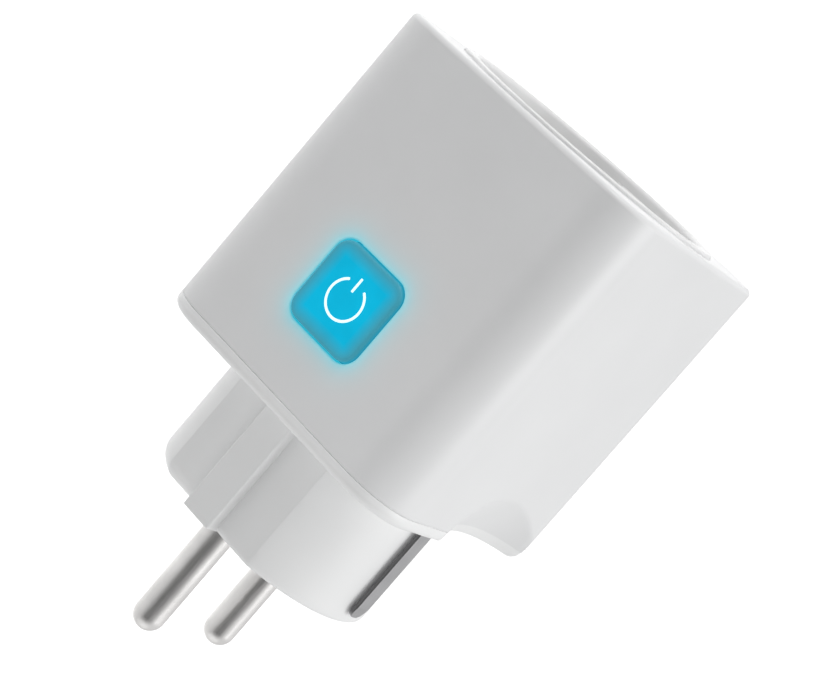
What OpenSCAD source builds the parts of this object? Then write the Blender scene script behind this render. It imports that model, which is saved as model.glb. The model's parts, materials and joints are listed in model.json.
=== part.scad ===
// Smart plug: a pass-through mains adapter with a switched socket on its face and a lit button on its side.
// Each module is drawn with the plug's axis upright: z = 0 is the plug's engagement face, the pins point down
// and the socket opens upwards. in_use() then lays the axis along Y, as the plug sits in a wall socket:
// the pins point along +Y into the wall, the socket face looks along -Y and the button looks along +X.

/* [Casing] */
// Width across the flat sides of the casing
casing_w = 48.5; // [48:0.1:50]
// Height of the casing along the plug's axis
casing_h = 51.5; // [51:0.1:54]
// Radius of the casing's upright corners
corner_r = 8; // [7.5:0.1:8.5]
// Wall thickness of the housing
wall = 1.8; // [1.6:0.1:1.9]
// Height of the rear cover's rim, below the seam
rim_h = 2; // [1.8:0.1:2.2]

/* [Finger scoops] */
// Radius of the round scoop
scoop_r = 18; // [17.8:0.1:18.1]
// Distance of the scoop's axis from the casing's side, at the rear face
scoop_gap = 15.2; // [15.1:0.1:15.5]
// Distance of the scoop's axis from the plug's axis, away from the button, at the rear face
scoop_offset = 4; // [3.8:0.1:4.2]
// Lean of the scoop's axis away from the casing, in degrees
scoop_lean = 30.5; // [30:0.1:31]
// Lean of the scoop's axis towards the button, in degrees
scoop_skew = 39.5; // [38:0.1:40]

/* [Plug] */
// Radius of the plug's round base
base_r = 18.5; // [18.2:0.1:18.6]
// Height of the plug's base, from its engagement face to the casing
base_h = 19; // [18:0.1:19.5]
// Distance of the two guide flats from the axis
flat_x = 15.8; // [15.4:0.1:16]
// Width of the guide rib on each guide flat
rib_w = 5.4; // [5:0.1:6]
// Distance of the rib's outer face from the axis
rib_x = 17.9; // [17.4:0.1:18.1]
// Diameter of the live and neutral pins
pin_d = 4.8; // [4.74:0.01:4.86]
// Length of the pins beyond the engagement face
pin_l = 19; // [18.5:0.1:19.5]
// Distance between the pins' axes
pin_pitch = 19; // [18.9:0.1:19.1]
// Distance of the earth hole from the axis
earth_hole_y = 10; // [9.9:0.1:10.1]

/* [Socket] */
// Radius of the socket's recess
recess_r = 19.75; // [19.5:0.05:19.8]
// Depth of the socket's recess
recess_depth = 17.5; // [17.5:0.1:17.8]
// Radius of the socket's raised face ring
face_r = 22; // [21.8:0.1:22]
// Height of the face ring above the casing
face_proud = 0.5; // [0.3:0.1:0.8]
// Diameter of the two pin holes in the recess's floor
hole_d = 6; // [5.6:0.1:6.2]

/* [Button] */
// Width and height of the button
button_w = 13; // [12.4:0.1:13.4]
// Corner radius of the button
button_r = 2.4; // [2:0.1:3]
// Height of the button's middle above the engagement face
button_z = 36.6; // [36:0.1:37]
// How far the button stands out of the casing
button_proud = 0.45; // [0.3:0.05:0.6]
// How far the button goes in when pressed
button_travel = 0.35; // [0.25:0.05:0.4]

/* [Hidden] */
$fn = 96;

gap = 0.1;                                  // fit gap between parts that don't move
half_w = casing_w / 2;
inner_half = half_w - wall;
seam_z = base_h + rim_h;
top_z = base_h + casing_h;
face_z = top_z + face_proud;
floor_top = face_z - recess_depth;
floor_t = 2;
floor_bottom = floor_top - floor_t;
top_plate_t = 2;
pin_x = pin_pitch / 2;
screw_places = [[18.3, 18.3], [18.3, -18.3], [-19.2, 10], [-19.2, -10]];
screw_r = 1.3;
boss_r = 3.1;
boss_top = 40;
pad_h = 2;                                  // thickening of the rear cover under each housing screw
base_floor = 2.6;                           // thickness of the base's end wall
collar_z = 10;                              // top of the sleeves that hold the pins
shank_r = pin_d / 2 - 0.2;                  // the pins are a little thinner inside the base
mouth_z = 0.5;                              // depth of the wider mouth of each pin's hole
guide_x = 18.3;                             // distance of the recess's guide ribs from the axis

carrier_top = floor_bottom - 4.3;           // the shutter turns between the floor and the carrier
carrier_t = 1.5;
carrier_r = 16.6;
shutter_angle = 21;                         // half the angle that one shutter wing covers

board_z = 24;                               // underside of the main board
board_t = 1.6;
board_top = board_z + board_t;
control_x = 15;                             // inner face of the upright control board
control_t = 1;
strap_t = 0.7;                              // sheet thickness of the contacts and straps
strap_y = 19.3;                             // earth clip on the plug's side, centre of the sheet
clip_half = 1.5;                            // half the width of the earth clip

relay_l = 18.4;
relay_w = 10.2;
relay_h = 15.3;
relay_y = 11.4;
relay_leads = [-7.2, -2.4, 5.4];            // along the relay, from its middle
pivot_x = 1.1;                              // armature pivot, from the relay's middle
pivot_z = 11.7;                             // and above the relay's foot
armature_tilt = 3.4;                        // how far the released armature stands open

// Leads of the parts on the main board, which go through its holes
capacitor_x = [-4.9, 4.2];
capacitor_leads = [for (x = capacitor_x, s = [-1, 1]) [x, -11.4 + s * 1.2]];
varistor_at = [-12.6, -11.5];
varistor_leads = [for (s = [-1, 1]) varistor_at + [s * 2.5, 0]];
resistor_leads = [[12.4, 9.4], [12.4, 13.4]];
film_leads = [[-12.9, 8], [-12.9, 13.4]];
thin_lead = 0.3;
lead = 0.35;
relay_lead = 0.45;

// ---------- placing and shared shapes ----------

module in_use() rotate([90, 0, 0]) children();

// Extrudes an outline drawn in (y, z) along x, centred
module along_x(w) rotate([90, 0, 90]) linear_extrude(w, center = true) children();

module rounded_rect(w, h, r) {
    square([w - 2 * r, h], center = true);
    square([w, h - 2 * r], center = true);
    for (sx = [-1, 1], sy = [-1, 1]) translate([sx * (w / 2 - r), sy * (h / 2 - r)]) circle(r);
}

module slab(w, h, r, z0, z1) translate([0, 0, z0]) linear_extrude(z1 - z0) rounded_rect(w, h, r);

module disc(r, z0, z1) translate([0, 0, z0]) cylinder(r = r, h = z1 - z0);

// A box from its lowest and highest corners
module block(low, high) translate(low) cube(high - low);

function unit(v) = v / norm(v);

function turned(v) = [-v[1], v[0]];

// The path moved sideways by d, with mitred bends
function beside(path, d) = [for (i = [0 : len(path) - 1])
    let (last = len(path) - 1)
    let (before = turned(unit(path[max(i, 1)] - path[max(i, 1) - 1])))
    let (after = turned(unit(path[min(i, last - 1) + 1] - path[min(i, last - 1)])))
    path[i] + d * (before + after) / (1 + before * after)];

function reversed(list) = [for (i = [len(list) - 1 : -1 : 0]) list[i]];

// Outline of a bent sheet of thickness t whose middle follows the path
module strip(path, t) polygon(concat(beside(path, t / 2), reversed(beside(path, -t / 2))));

module at_corners(xy) for (sx = [-1, 1], sy = [-1, 1]) translate([sx * xy, sy * xy, 0]) children();

module at_screws() for (place = screw_places) translate(place) children();

module leads(places, r, z0, z1) for (place = places) translate(place) disc(r, z0, z1);

// ---------- casing ----------

// The slanted round cutter of both finger scoops; grow makes it larger for the wall behind the scoop
module scoops(grow = 0) {
    run = [tan(scoop_skew), tan(scoop_lean)];
    for (side = [-1, 1])
        translate([-scoop_offset, side * (half_w + scoop_gap), base_h])
            rotate([0, atan(norm(run)), side * atan2(run[1], run[0])])
                cylinder(r = scoop_r + grow, h = 4 * casing_w, center = true);
}

module button_opening(w, r, x0, x1)
    translate([x0, 0, button_z]) rotate([90, 0, 90]) linear_extrude(x1 - x0) rounded_rect(w, w, r);

module housing() color("white") in_use() difference() {
    union() {
        difference() {
            slab(casing_w, casing_w, corner_r, seam_z, top_z);
            difference() {
                slab(2 * inner_half, 2 * inner_half, corner_r - wall, seam_z - 1, top_z - top_plate_t);
                scoops(1.6);
            }
            disc(face_r + gap, top_z - top_plate_t - 1, top_z + 1);
        }
        at_screws() disc(boss_r, seam_z + pad_h + gap, boss_top);
        for (a = [-45, 45]) rotate(a) block([27, -1, seam_z + pad_h + gap], [30, 1, boss_top]);
        for (y = [-10, 10]) block([-inner_half - 1, y - 1.5, seam_z + pad_h + gap], [-20, y + 1.5, boss_top]);
    }
    scoops();
    at_screws() disc(screw_r + 0.02, seam_z, seam_z + 14);
    button_opening(button_w + 0.4, button_r + 0.2, inner_half - 1, half_w + 1);
}

// Outline of the plug's base; inset moves every side inwards for the hollow inside
module base_outline(inset = 0) {
    intersection() {
        circle(base_r - inset);
        square([2 * (flat_x - inset), 2 * base_r], center = true);
    }
    if (inset == 0) square([2 * rib_x, rib_w], center = true);
}

// Low wall that stands inside the housing, and stops short of the housing's wall behind each scoop
module spigot() difference() {
    slab(2 * (inner_half - gap), 2 * (inner_half - gap), corner_r - wall, seam_z, seam_z + 1.6);
    slab(2 * (inner_half - 1.1), 2 * (inner_half - 1.1), corner_r - wall - 1, seam_z - 1, seam_z + 2);
    scoops(1.8);
}

module rear_cover() color("white") in_use() difference() {
    union() {
        linear_extrude(base_h + 0.01) base_outline();
        difference() {
            union() {
                slab(casing_w, casing_w, corner_r, base_h, seam_z);
                spigot();
            }
            scoops();
        }
        at_screws() disc(boss_r, seam_z, seam_z + pad_h);
    }
    difference() {
        translate([0, 0, base_floor]) linear_extrude(seam_z) base_outline(2);
        for (sx = [-1, 1]) translate([sx * pin_x, 0, 0]) disc(4.2, 2, collar_z);
        translate([0, earth_hole_y, 0]) disc(4.3, 2, 9);
    }
    for (sx = [-1, 1]) translate([sx * pin_x, 0, 0]) {
        disc(shank_r + 0.02, -1, collar_z + 1);
        disc(pin_d / 2 + 0.02, -1, mouth_z);
    }
    translate([0, earth_hole_y, 0]) disc(2.6, -1, base_floor + 1);
    translate([0, earth_hole_y, 0]) disc(3.12, base_floor, 10);
    // the earth clips go in through the rear face, and turn inwards behind it
    for (sy = [-1, 1]) {
        block([-clip_half - 0.3, sy * 19.1 - 0.7, base_h - 1], [clip_half + 0.3, sy * 19.1 + 0.7, base_h + 1]);
        block([-clip_half - 0.3, sy * 17.5 - 2.3, base_h + 0.7], [clip_half + 0.3, sy * 17.5 + 2.3, seam_z + 1]);
    }
    at_screws() {
        disc(screw_r + 0.25, base_h - 1, seam_z + pad_h + 1);
        disc(2.9, base_h - 1, base_h + 2.2);
    }
}

module housing_screws() color("silver") in_use() at_screws() difference() {
    union() {
        disc(2.6, base_h + 0.7, base_h + 2.2);
        disc(screw_r, base_h + 2.2, seam_z + 11);
    }
    translate([0, 0, base_h + 1.1]) cube([3.2, 0.8, 1.4], center = true);
    translate([0, 0, base_h + 1.1]) cube([0.8, 3.2, 1.4], center = true);
}

// ---------- socket ----------

module socket_insert() color("white") in_use() difference() {
    union() {
        disc(face_r, top_z - top_plate_t, face_z);
        slab(2 * inner_half - 0.3, 2 * inner_half - 0.3, corner_r - wall, top_z - top_plate_t - 1.5,
            top_z - top_plate_t);
        disc(recess_r + 1.5, floor_bottom, face_z - 1);
        disc(carrier_r, carrier_top, floor_bottom + 0.01);
        for (a = [45, 225]) rotate(a) translate([18.2, 0, 0]) disc(1.9, carrier_top, floor_bottom + 0.01);
    }
    difference() {
        disc(recess_r, floor_top, face_z + 1);
        for (a = [0, 180]) rotate(a) block([guide_x, -2.5, floor_top - 1], [recess_r + 1, 2.5, face_z - 1.5]);
    }
    disc(carrier_r - 1.6, carrier_top - 1, floor_bottom);
    for (sx = [-1, 1]) translate([sx * pin_x, 0, 0]) disc(hole_d / 2, floor_bottom - 1, floor_top + 1);
    for (sy = [-1, 1]) block([-3.6, sy * 20.6 - 1.4, floor_bottom - 1], [3.6, sy * 20.6 + 1.4, face_z - 1.8]);
    for (a = [45, 225]) rotate(a) translate([18.2, 0, 0]) disc(0.82, carrier_top - 1, floor_bottom - 1);
}

module wing_pair(r) intersection() {
    circle(r);
    for (a = [0, 180]) rotate(a)
        polygon([[0, 0], [2 * r, 2 * r * tan(shutter_angle)], [2 * r, -2 * r * tan(shutter_angle)]]);
}

module shutter() color("gainsboro") in_use() {
    low = carrier_top + 1.2;
    high = floor_bottom - 0.3;
    difference() {
        union() {
            translate([0, 0, low]) linear_extrude(high - low) wing_pair(13.3);
            disc(3.4, low, high);
        }
        disc(1.55, low - 1, high + 1);
        // each wing's ramp, which turns a pin's push into rotation
        for (a = [0, 180]) rotate(a) translate([pin_x, -3.4, high + 0.6]) rotate([35, 0, 0])
            cube([5.4, 4, 4], center = true);
    }
}

// A round wire swept along points; every ring has the same number of sides
function ring_at(p, d, r, sides) =
    let (u = [0, 0, 1], n = cross(d, u) / norm(cross(d, u)), b = cross(n, d) / norm(d))
    [for (k = [0 : sides - 1]) p + r * (cos(360 * k / sides) * n + sin(360 * k / sides) * b)];

module wire(points, r, sides = 8) {
    last = len(points) - 1;
    rings = [for (i = [0 : last])
        ring_at(points[i], points[min(i + 1, last)] - points[max(i - 1, 0)], r, sides)];
    vertices = [for (ring = rings) each ring];
    sides_faces = [for (i = [0 : last - 1], k = [0 : sides - 1])
        let (a = i * sides + k, b = i * sides + (k + 1) % sides) [a, b, b + sides, a + sides]];
    polyhedron(vertices, concat(sides_faces,
        [[for (k = [sides - 1 : -1 : 0]) k]], [[for (k = [0 : sides - 1]) last * sides + k]]));
}

module shutter_spring() color("silver") in_use() {
    coil_r = 2.4;
    turns = 1.5;
    steps = 36;
    rise = 0.42;
    start = [coil_r, -2.6, carrier_top + 0.27];
    coil = [for (i = [0 : steps]) let (a = 360 * turns * i / steps)
        [coil_r * cos(a), coil_r * sin(a), carrier_top + 0.27 + rise * turns * i / steps]];
    end = [-coil_r, -2.6, carrier_top + 0.27 + rise * turns];
    wire(concat([start], coil, [end]), 0.2);
}

module contact_carrier() color("ivory") in_use() difference() {
    union() {
        disc(carrier_r, carrier_top - carrier_t, carrier_top);
        disc(1.5, carrier_top - 0.01, floor_bottom - 0.1);
        for (a = [45, 225]) rotate(a) translate([18.2, 0, 0]) disc(1.9, carrier_top - carrier_t, carrier_top);
        for (a = [45, 225]) rotate(a)
            block([14, -1.9, carrier_top - carrier_t], [18.2, 1.9, carrier_top]);
        for (sx = [-1, 1])
            block([sx * pin_x - 3.8, -5.4, 34], [sx * pin_x + 3.8, 5.4, carrier_top]);
    }
    for (sx = [-1, 1]) {
        block([sx * pin_x - 2.8, -4.4, 33], [sx * pin_x + 2.8, 4.4, carrier_top - carrier_t]);
        translate([sx * pin_x, 0, 0]) disc(3.2, 40, carrier_top + 1);
    }
    for (a = [45, 225]) rotate(a) translate([18.2, 0, 0]) disc(1.05, carrier_top - 2, carrier_top + 1);
}

module carrier_screws() color("silver") in_use()
    for (a = [45, 225]) rotate(a) translate([18.2, 0, 0]) difference() {
        union() {
            disc(1.7, carrier_top - carrier_t - 1.2, carrier_top - carrier_t);
            disc(0.8, carrier_top - carrier_t, floor_bottom - 1.2);
        }
        translate([0, 0, carrier_top - carrier_t - 1.2]) cube([2.2, 0.5, 1], center = true);
        translate([0, 0, carrier_top - carrier_t - 1.2]) cube([0.5, 2.2, 1], center = true);
    }

// ---------- pins and contacts ----------

module plug_pin(side) in_use() translate([side * pin_x, 0, 0]) {
    r = pin_d / 2;
    translate([0, 0, -pin_l + r]) sphere(r);
    disc(r, -pin_l + r, 0);
    disc(shank_r, 0, collar_z);
    disc(3.6, collar_z, collar_z + 1);
    disc(1.5, collar_z + 1, board_top + 1);
}

module live_pin() color("silver") plug_pin(1);

module neutral_pin() color("silver") plug_pin(-1);

// Two sprung leaves that grip a pin, and one leg down to the board
module pin_contact(side) in_use() translate([side * pin_x, 0, 0]) {
    leaf_y = 2.42 + strap_t / 2;
    right = [[3.5, 34], [3.5, 35.5], [leaf_y, 38], [leaf_y, 43], [3.8, 45]];
    left = [for (p = right) [-p[0], p[1]]];
    along_x(5) strip(concat(reversed(left), right), strap_t);
    block([-1.5, -3.5 - strap_t / 2, board_z - 0.6], [1.5, -3.5 + strap_t / 2, 34]);
}

module live_contact() color("goldenrod") pin_contact(1);

module neutral_contact() color("goldenrod") pin_contact(-1);

// The sheet's middle in (y, z), from the plug's clip, through the rear cover, to the socket's spring
strap_path = [
    [strap_y - 0.25, 2.1], [strap_y, 3.9], [strap_y, base_h + 0.7], [16.2, 21.6], [16.2, 23.6], [20.4, 30.6],
    [20.4, floor_top + 4], [17.5, floor_top + 8.5], [17.5, floor_top + 11], [20.3, floor_top + 15]
];

// The sheet as cut, before it is bent: a narrow rounded clip, a broader web and the spring
module strap_blank() {
    translate([0, 2.1 + clip_half - 0.2]) circle(clip_half);
    translate([-clip_half, 2.1 + clip_half - 0.2]) square([2 * clip_half, 19]);
    translate([-2.5, seam_z + 0.2]) square([5, floor_bottom - 27]);
    translate([-3, floor_bottom - 8]) square([6, 30]);
}

module earth_strap(side) in_use() on_side(side) intersection() {
    along_x(8) strip(strap_path, strap_t);
    rotate([90, 0, 0]) translate([0, 0, -casing_w]) linear_extrude(2 * casing_w) strap_blank();
}

module on_side(side) if (side > 0) children(); else mirror([0, 1, 0]) children();

module earth_strap_right() color("silver") earth_strap(1);

module earth_strap_left() color("silver") earth_strap(-1);

// Sleeve for the earth pin of a wall socket that has one, with a tab to the earth strap
module earth_sleeve() color("goldenrod") in_use() difference() {
    union() {
        translate([0, earth_hole_y, 0]) disc(3.1, base_floor, 15);
        block([-2, earth_hole_y, 13.4], [2, 14.5, 14.1]);
        block([-2, 13.8, 13.4], [2, 14.5, 22.8]);
        block([-2, 13.8, 22.1], [2, 16.2 - strap_t / 2, 22.8]);
    }
    translate([0, earth_hole_y, 0]) disc(2.5, 2, 16);
}

// ---------- main board ----------

module main_board() color("darkgreen") in_use() difference() {
    block([-21.4, -18.4, board_z], [21.4, 18.4, board_top]);
    at_screws() disc(boss_r + 0.6, board_z - 1, board_top + 1);
    for (sy = [-1, 1]) block([-3, sy * 17.5 - 2, board_z - 1], [3, sy * 17.5 + 2, board_top + 1]);
    for (sx = [-1, 1]) translate([sx * pin_x, 0, 0]) {
        disc(1.6, board_z - 1, board_top + 1);
        block([-1.6, -3.5 - 0.45, board_z - 1], [1.6, -3.5 + 0.45, board_top + 1]);
    }
    block([control_x - gap, -5.1, board_z - 1], [control_x + control_t + gap, 5.1, board_top + 1]);
    block([-17.3, -5.1, board_z - 1], [-16.3, 5.1, board_top + 1]);
    leads(capacitor_leads, thin_lead + gap, board_z - 1, board_top + 1);
    leads(concat(varistor_leads, resistor_leads, film_leads), lead + gap, board_z - 1, board_top + 1);
    leads([for (x = relay_leads) [x, relay_y]], relay_lead + gap, board_z - 1, board_top + 1);
}

module at_relay() in_use() translate([0, relay_y, board_top]) children();

module relay_base() color("black") at_relay() {
    block([-8.4, -4.3, 0.1], [8.4, 4.3, 1.5]);
    for (x = relay_leads) translate([x, 0, 0]) disc(relay_lead, -board_t - 0.4, 0.2);
}

module relay_cover() color("royalblue") at_relay() difference() {
    slab(relay_l, relay_w, 0.6, 0.1, relay_h);
    block([-relay_l / 2 + 0.7, -relay_w / 2 + 0.7, -1], [relay_l / 2 - 0.7, relay_w / 2 - 0.7, relay_h - 0.7]);
}

module at_coil() at_relay() translate([-4, 0, 0]) children();

module relay_bobbin() color("black") at_coil() difference() {
    union() {
        disc(1.9, 2.4, 11);
        disc(4.1, 2.4, 3);
        disc(4.1, 10.4, 11);
    }
    disc(1.4, 2, 12);
}

module relay_coil() color("chocolate") at_coil() difference() {
    disc(3.8, 3, 10.4);
    disc(1.9, 2, 11);
}

module relay_yoke() color("silver") at_relay() {
    translate([-4, 0, 0]) disc(1.35, 1.55, pivot_z - 0.1);
    block([-6.5, -3.2, 1.55], [1.6, 3.2, 2.35]);
    block([0.6, -3.2, 1.55], [1.6, 3.2, pivot_z - 0.15]);
}

module at_armature() at_relay() translate([pivot_x, 0, pivot_z]) rotate([0, armature_tilt, 0]) children();

module relay_armature() color("silver") at_armature() {
    block([-7.6, -3, 0], [2.2, 3, 0.8]);
    rotate([90, 0, 0]) cylinder(r = 0.12, h = 6, center = true);
}

module relay_moving_contact() color("goldenrod") at_armature() {
    block([1.9, -2, 0.8], [2.2, 2, 1.1]);
    block([2.2, -2, -8], [2.5, 2, 1.1]);
    translate([2.5, 0, -7]) rotate([0, 90, 0]) cylinder(r = 1.1, h = 0.5);
}

module relay_fixed_contact() color("goldenrod") at_relay() {
    block([5.2, -2, 1.5], [5.6, 2, 6.4]);
    translate([4.16, 0, 4.7]) rotate([0, 90, 0]) cylinder(r = 1.1, h = 1.05);
}

module bulk_capacitors() color("dimgray") in_use() {
    for (x = capacitor_x) translate([x, -11.4, 0]) disc(4, board_top + 0.5, board_top + 12.5);
    leads(capacitor_leads, thin_lead, board_z - 1, board_top + 0.6);
}

module power_inductor() color("black") in_use() translate([12, -13.2, 0]) {
    disc(3.4, board_top, board_top + 1);
    disc(2.6, board_top + 1, board_top + 7.4);
    disc(3.4, board_top + 7.4, board_top + 8.4);
}

module varistor() color("steelblue") in_use() {
    translate(varistor_at) translate([0, 0, board_top + 4.6]) rotate([90, 0, 0])
        cylinder(r = 3.3, h = 3.2, center = true);
    leads(varistor_leads, lead, board_z - 1, board_top + 4);
}

module fusible_resistor() color("darkolivegreen") in_use() {
    first = resistor_leads[0];
    last = resistor_leads[1];
    leads([first], 1.8, board_top + 1, board_top + 10);
    leads(resistor_leads, lead, board_z - 1, board_top + 11.4);
    block([first[0] - 0.3, first[1], board_top + 10.8], [first[0] + 0.3, last[1], board_top + 11.4]);
}

module suppression_capacitor() color("gold") in_use() {
    block([-15.4, 5.6, board_top + 0.3], [-10.4, 15.8, board_top + 10.4]);
    leads(film_leads, lead, board_z - 1, board_top + 0.4);
}

// A flat chip under the board, with rows of legs
module chip(x, y, w, l, h, legs) translate([x, y, board_z]) {
    translate([-w / 2, -l / 2, -h]) cube([w, l, h - 0.2]);
    for (s = [-1, 1], i = [0 : legs - 1])
        translate([s * (w / 2 + 0.35), (i - (legs - 1) / 2) * l / legs, -h / 2])
            cube([0.9, 0.4, h], center = true);
}

module bridge_rectifier() color("black") in_use() chip(-3.2, -7.4, 4, 4.7, 1.8, 2);

module converter_chip() color("black") in_use() chip(8.2, -7.6, 3.9, 4.9, 1.6, 4);

module metering_chip() color("black") in_use() chip(-9, 7.6, 3.9, 4.9, 1.6, 4);

module shunt_resistor() color("silver") in_use() block([-4.2, 1, board_z - 0.9], [2.2, 4.2, board_z]);

module small_components() color("tan") in_use() {
    left_row = [for (x = [-13, -9, -5, 5, 9, 13]) [x, -15.6]];
    right_row = [for (x = [-9, -5, 5, 9]) [x, 14.6]];
    middle_row = [for (x = [6.3, 13.2]) [x, 3.2]];
    for (place = concat(left_row, right_row, middle_row))
        translate(place) translate([0, 0, board_z - 0.4]) cube([2, 1.25, 0.8], center = true);
}

// ---------- radio and control boards ----------

module radio_board() color("midnightblue") in_use() {
    block([-17.2, -7, board_top + 0.4], [-16.4, 7, board_top + 17.6]);
    block([-17.2, -4.9, board_z - 0.6], [-16.4, 4.9, board_top + 0.41]);
}

module radio_shield() color("silver") in_use()
    block([-19.4, -6.2, board_top + 1.2], [-17.2, 6.2, board_top + 11.4]);

module control_board() color("darkgreen") in_use() {
    block([control_x, -10.4, board_top + 0.6], [control_x + control_t, 10.4, 45]);
    block([control_x, -4.9, board_z - 0.6], [control_x + control_t, 4.9, board_top + 0.61]);
}

switch_front = control_x + control_t + 3.4;

module switch_body() color("black") in_use() translate([0, 0, button_z]) difference() {
    block([control_x + control_t, -3, -3], [switch_front, 3, 3]);
    translate([switch_front - 1.15 - button_travel, 0, 0]) rotate([0, 90, 0]) cylinder(r = 1.78, h = 2);
}

module switch_plate() color("silver") in_use() translate([0, 0, button_z]) difference() {
    block([switch_front, -3, -3], [switch_front + 0.25, 3, 3]);
    translate([switch_front - 1, 0, 0]) rotate([0, 90, 0]) cylinder(r = 1.78, h = 2);
    for (y = [-2.3, 2.3], z = [-2.3, 2.3]) translate([switch_front - 1, y, z])
        rotate([0, 90, 0]) cylinder(r = 0.35, h = 2);
}

module switch_plunger() color("dimgray") in_use() translate([switch_front - 1, 0, button_z])
    rotate([0, 90, 0]) cylinder(r = 1.72, h = 1.8);

plunger_tip = switch_front + 0.8;

module status_leds() color("lightcyan") in_use() for (y = [-5, 5], z = [-3, 3])
    translate([control_x + control_t + 0.45, y, button_z + z]) cube([0.9, 1.7, 1.7], center = true);

module light_guide() color("azure") in_use() difference() {
    union() {
        button_opening(13.6, 2, control_x + control_t + 1.2, plunger_tip - 0.5);
        translate([control_x + control_t, 0, button_z]) rotate([90, 0, 90]) at_corners(5.9) cylinder(r = 0.7, h = 1.3);
    }
    button_opening(7, 1, control_x, half_w);
}

// ---------- button ----------

cap_front = half_w + button_proud;
flange_back = plunger_tip + 0.9;

// Outline of the power symbol: a ring open at the top, with a bar in the gap
module power_outline() {
    difference() {
        circle(3.05);
        circle(2.7);
        polygon([[0, 0], [-2.4, 4], [2.4, 4]]);
    }
    translate([0, 2.75]) square([0.35, 2.3], center = true);
}

module on_cap(x0, x1) translate([x0, 0, button_z]) rotate([90, 0, 90]) linear_extrude(x1 - x0) children();

module button_cap() color("deepskyblue") in_use() difference() {
    union() {
        button_opening(button_w, button_r, flange_back, cap_front);
        button_opening(button_w + 2.2, button_r + 1, flange_back, inner_half - 0.2);
        translate([plunger_tip, 0, button_z]) rotate([0, 90, 0]) cylinder(r = 1.5, h = 2);
    }
    on_cap(cap_front - 0.2, cap_front + 1) power_outline();
}

module power_symbol() color("white") in_use() on_cap(cap_front - 0.2, cap_front + 0.02) power_outline();

// ---------- drawing ----------

housing();
rear_cover();
housing_screws();
socket_insert();
shutter();
shutter_spring();
contact_carrier();
carrier_screws();
live_pin();
neutral_pin();
live_contact();
neutral_contact();
earth_strap_right();
earth_strap_left();
earth_sleeve();
main_board();
relay_base();
relay_cover();
relay_bobbin();
relay_coil();
relay_yoke();
relay_armature();
relay_moving_contact();
relay_fixed_contact();
bulk_capacitors();
power_inductor();
varistor();
fusible_resistor();
suppression_capacitor();
bridge_rectifier();
converter_chip();
metering_chip();
shunt_resistor();
small_components();
radio_board();
radio_shield();
control_board();
switch_body();
switch_plate();
switch_plunger();
status_leds();
light_guide();
button_cap();
power_symbol();
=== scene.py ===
"""Smart plug: the looks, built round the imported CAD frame.

Shapes are drawn in millimetres in the plug's own upright frame (u, v, w): u runs out of the button,
v towards one finger scoop, and w along the plug's axis from the engagement face up to the socket.
at() turns them into the row frame, in metres, where the pins point along +Y.
"""
import json
import math

import bmesh
import bpy
from mathutils import Matrix, Vector


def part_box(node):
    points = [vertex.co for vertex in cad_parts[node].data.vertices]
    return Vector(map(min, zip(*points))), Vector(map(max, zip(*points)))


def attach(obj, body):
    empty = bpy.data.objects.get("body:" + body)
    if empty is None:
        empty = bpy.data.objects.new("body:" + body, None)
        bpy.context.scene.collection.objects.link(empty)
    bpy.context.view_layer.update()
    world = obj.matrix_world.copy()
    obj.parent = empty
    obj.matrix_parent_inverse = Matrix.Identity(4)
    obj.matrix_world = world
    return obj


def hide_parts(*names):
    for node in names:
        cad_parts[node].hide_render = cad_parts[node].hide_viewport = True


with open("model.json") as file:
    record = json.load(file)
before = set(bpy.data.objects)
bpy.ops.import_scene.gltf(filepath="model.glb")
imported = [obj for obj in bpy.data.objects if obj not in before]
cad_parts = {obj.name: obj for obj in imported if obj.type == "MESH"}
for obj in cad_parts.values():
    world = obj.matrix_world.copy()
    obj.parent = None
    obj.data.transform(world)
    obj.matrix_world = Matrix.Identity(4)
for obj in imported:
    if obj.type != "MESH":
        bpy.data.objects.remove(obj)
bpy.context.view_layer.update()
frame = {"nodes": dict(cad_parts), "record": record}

MM = 0.001


def extent(node):
    """A CAD node's box in (u, v, w) millimetres: lowest corner, highest corner."""
    low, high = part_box(node)
    return (
        Vector((low.x, low.z, -high.y)) / MM,
        Vector((high.x, high.z, -low.y)) / MM,
    )


# ---------- sizes in millimetres, from the frame where it has them ----------

shell_low, shell_high = extent("housing")
insert_high = extent("socket_insert")[1]
cap_low, cap_high = extent("button_cap")
pin_low, pin_high = extent("live_pin")

HALF = shell_high.x                     # half the casing's width
TOP = shell_high.z                      # end face of the casing
SEAM = shell_low.z                      # joint between housing and rear cover
FACE = insert_high.z                    # face of the socket's raised ring
REAR = 19.0                             # rear plane of the casing, where the base begins
CORNER = 8.0                            # radius of the casing's upright corners
WALL = 1.8
TOP_WALL = 2.0
SEAM_R = 0.15                           # rounding of both edges at the seam
END_R = 0.9                             # and of the casing's edge at the socket's end
REAR_R = 1.2                            # and at the rear plane

SCOOP_R = 18.0
SCOOP_GAP = 15.2                        # the scoop's axis, outside the casing at the rear plane
SCOOP_OFFSET = 4.0                      # and away from the button
SCOOP_LEAN = math.radians(30.5)
SCOOP_SKEW = math.radians(39.5)
SCOOP_FOOT = Vector((-SCOOP_OFFSET, HALF + SCOOP_GAP, REAR))
SCOOP_AXIS = Vector((math.tan(SCOOP_SKEW), math.tan(SCOOP_LEAN), 1)).normalized()
SCOOP_TOP = REAR + 12.0                 # above here the sides are flat
SCOOP_WALL = 1.6
SCOOP_BLEND = 0.2                       # rounding of a scoop's edges

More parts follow.
